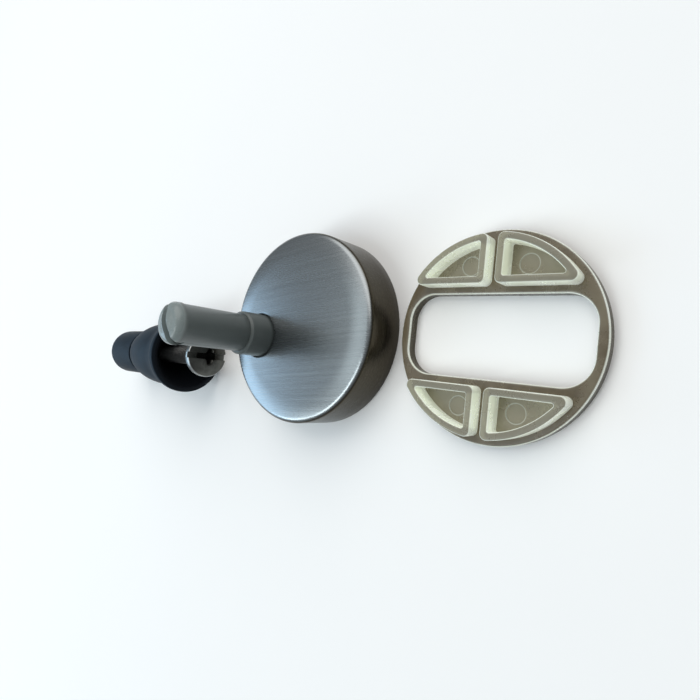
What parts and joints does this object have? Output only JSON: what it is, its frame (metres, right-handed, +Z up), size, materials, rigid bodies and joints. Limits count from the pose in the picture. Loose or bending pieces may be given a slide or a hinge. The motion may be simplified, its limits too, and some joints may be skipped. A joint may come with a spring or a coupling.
{
  "type": "toilet seat hinge",
  "caption": "Top-fix toilet seat hinge, laid out: brushed steel cap over a slotted base with an off-centre seat pin, a tubbed gasket, and a rubber expansion plug with its screw.",
  "frame": {"origin": "under the middle of the laid-out set's box, on the surface that the pieces lie on", "axes": "+Z up, along the seat pin; +Y along the row of laid-out pieces, from the gasket to the plug"},
  "size_m": [0.0506, 0.168, 0.0407],
  "materials": {
    "brushed_cap": "linear brushed stainless",
    "grey_moulding": "satin moulded grey",
    "clear_gasket": "soft translucent moulding",
    "black_rubber": "matt moulded rubber",
    "brass_nut": "turned",
    "zinc_screw": "bright zinc plating"
  },
  "bodies": {
    "base": {"base_plate": "grey_moulding", "hinge_pin": "grey_moulding", "seat_gasket": "clear_gasket", "expansion_plug": "black_rubber", "plug_nut": "brass_nut"},
    "cap": {"cover_cap": "brushed_cap"},
    "screw": {"fixing_screw": "zinc_screw"}
  },
  "joints": [
    {"name": "cap_lift", "type": "slide", "parent": "base", "child": "cap", "axis": [0, 0, 1], "range_m": [0, 0.032]},
    {"name": "screw_turn", "type": "hinge", "parent": "base", "child": "screw", "pos_m": [-0.01234, 0.02589, 0.01303], "axis": [0.0729, -0.9927, 0.0957], "continuous": true}
  ]
}
